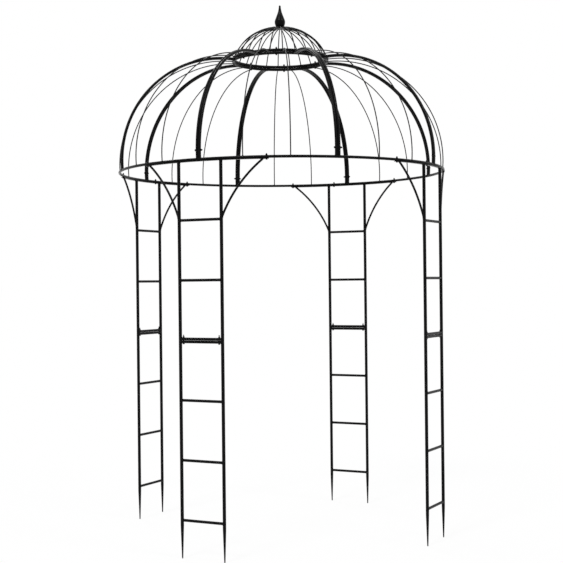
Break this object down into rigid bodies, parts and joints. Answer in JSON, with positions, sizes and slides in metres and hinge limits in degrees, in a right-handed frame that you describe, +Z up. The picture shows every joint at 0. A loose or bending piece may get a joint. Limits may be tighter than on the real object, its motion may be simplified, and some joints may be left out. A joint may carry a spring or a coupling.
{
  "type": "garden pavilion",
  "caption": "Open round garden pavilion: ladder posts with ground spikes and curved braces carry a ring and a dome of ribs and wires, topped by a cupola and a pointed finial.",
  "frame": {"origin": "on the pavilion's vertical axis, level with the tips of the spikes", "axes": "+Z up along the axis of the dome; -Y is the front way in, and the ladders stand on the diagonals"},
  "size_m": [2.0202, 2.0202, 3.2564],
  "materials": {
    "ladder_paint": "satin black powder coat on steel tube",
    "dome_paint": "satin black powder coat on steel tube",
    "wire_paint": "satin black powder coat on steel wire",
    "bolt_paint": "black coated steel bolts and nuts",
    "casting_paint": "satin black powder coat on a pressed steel drop"
  },
  "bodies": {
    "root": {"front_left_lower_uprights": "ladder_paint", "front_left_lower_rungs": "ladder_paint", "front_left_upper_uprights": "ladder_paint", "front_left_upper_rungs": "ladder_paint", "front_left_arch": "ladder_paint", "front_right_lower_uprights": "ladder_paint", "front_right_lower_rungs": "ladder_paint", "front_right_upper_uprights": "ladder_paint", "front_right_upper_rungs": "ladder_paint", "front_right_arch": "ladder_paint", "back_right_lower_uprights": "ladder_paint", "back_right_lower_rungs": "ladder_paint", "back_right_upper_uprights": "ladder_paint", "back_right_upper_rungs": "ladder_paint", "back_right_arch": "ladder_paint", "back_left_lower_uprights": "ladder_paint", "back_left_lower_rungs": "ladder_paint", "back_left_upper_uprights": "ladder_paint", "back_left_upper_rungs": "ladder_paint", "back_left_arch": "ladder_paint", "lower_ring_right": "dome_paint", "lower_ring_back": "dome_paint", "lower_ring_left": "dome_paint", "lower_ring_front": "dome_paint", "rib_1": "dome_paint", "rib_2": "dome_paint", "rib_3": "dome_paint", "rib_4": "dome_paint", "rib_5": "dome_paint", "rib_6": "dome_paint", "rib_7": "dome_paint", "rib_8": "dome_paint", "wires_1": "wire_paint", "wires_2": "wire_paint", "wires_3": "wire_paint", "wires_4": "wire_paint", "wires_5": "wire_paint", "wires_6": "wire_paint", "wires_7": "wire_paint", "wires_8": "wire_paint", "top_ring": "dome_paint", "cupola_ring": "dome_paint", "cupola_rods_right": "wire_paint", "cupola_rods_back": "wire_paint", "cupola_rods_left": "wire_paint", "cupola_rods_front": "wire_paint", "cupola_hub": "casting_paint", "finial": "casting_paint", "coupling_bolts": "bolt_paint", "ring_bolts": "bolt_paint", "rib_bolts": "bolt_paint", "top_ring_bolts": "bolt_paint"}
  },
  "joints": []
}
